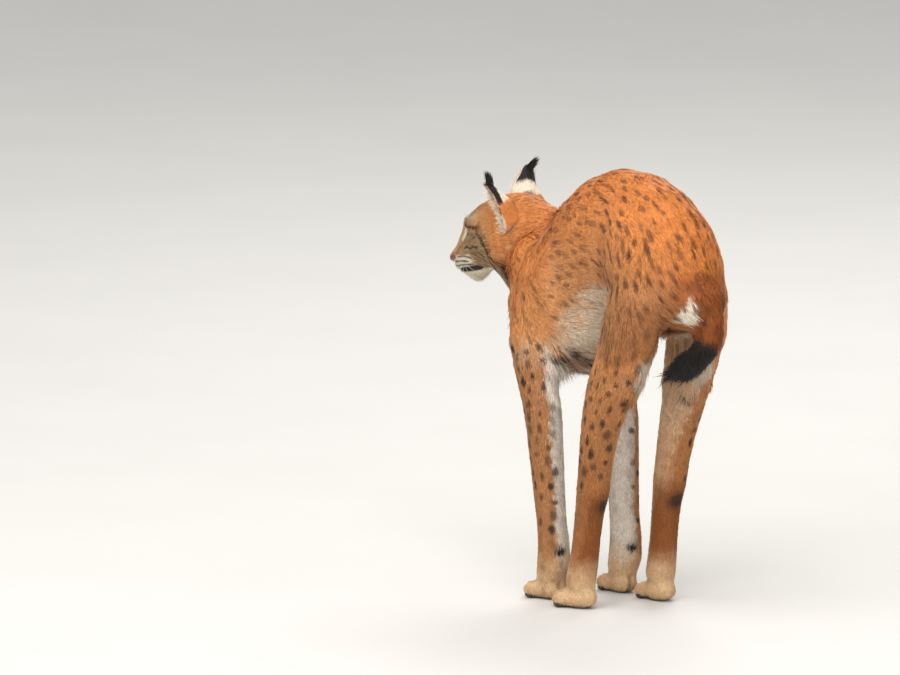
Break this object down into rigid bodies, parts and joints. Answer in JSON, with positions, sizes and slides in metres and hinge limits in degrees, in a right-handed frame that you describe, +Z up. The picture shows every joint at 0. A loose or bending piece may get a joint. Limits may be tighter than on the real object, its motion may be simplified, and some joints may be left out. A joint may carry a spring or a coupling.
{
  "type": "eurasian lynx",
  "caption": "Life-size still model of a standing lynx with an arched back, feet drawn together, head turned to its left, tufted ears and a short black-tipped tail.",
  "frame": {"origin": "on the floor, under the middle of the animal's box", "axes": "+Y the way the body faces, +X the animal's right side, +Z up"},
  "size_m": [0.2351, 0.6846, 0.7348],
  "materials": {
    "coat": "dense rufous fur with dark spots",
    "pale_coat": "short cream fur of the paws",
    "tail_coat": "rufous fur with a black end",
    "ear_fur": "black backs with a white patch and black tufts",
    "nose_leather": "moist pebbled nose leather",
    "eye": "wet amber eye with a round pupil"
  },
  "bodies": {
    "root": {"torso": "coat", "neck": "coat", "head": "coat", "nose": "nose_leather", "ear_left": "ear_fur", "ear_right": "ear_fur", "eye_left": "eye", "eye_right": "eye", "tail": "tail_coat", "upper_foreleg_left": "coat", "upper_foreleg_right": "coat", "forearm_left": "coat", "forearm_right": "coat", "forepaw_left": "pale_coat", "forepaw_right": "pale_coat", "thigh_left": "coat", "thigh_right": "coat", "shank_left": "coat", "shank_right": "coat", "hind_foot_left": "pale_coat", "hind_foot_right": "pale_coat"}
  },
  "joints": []
}
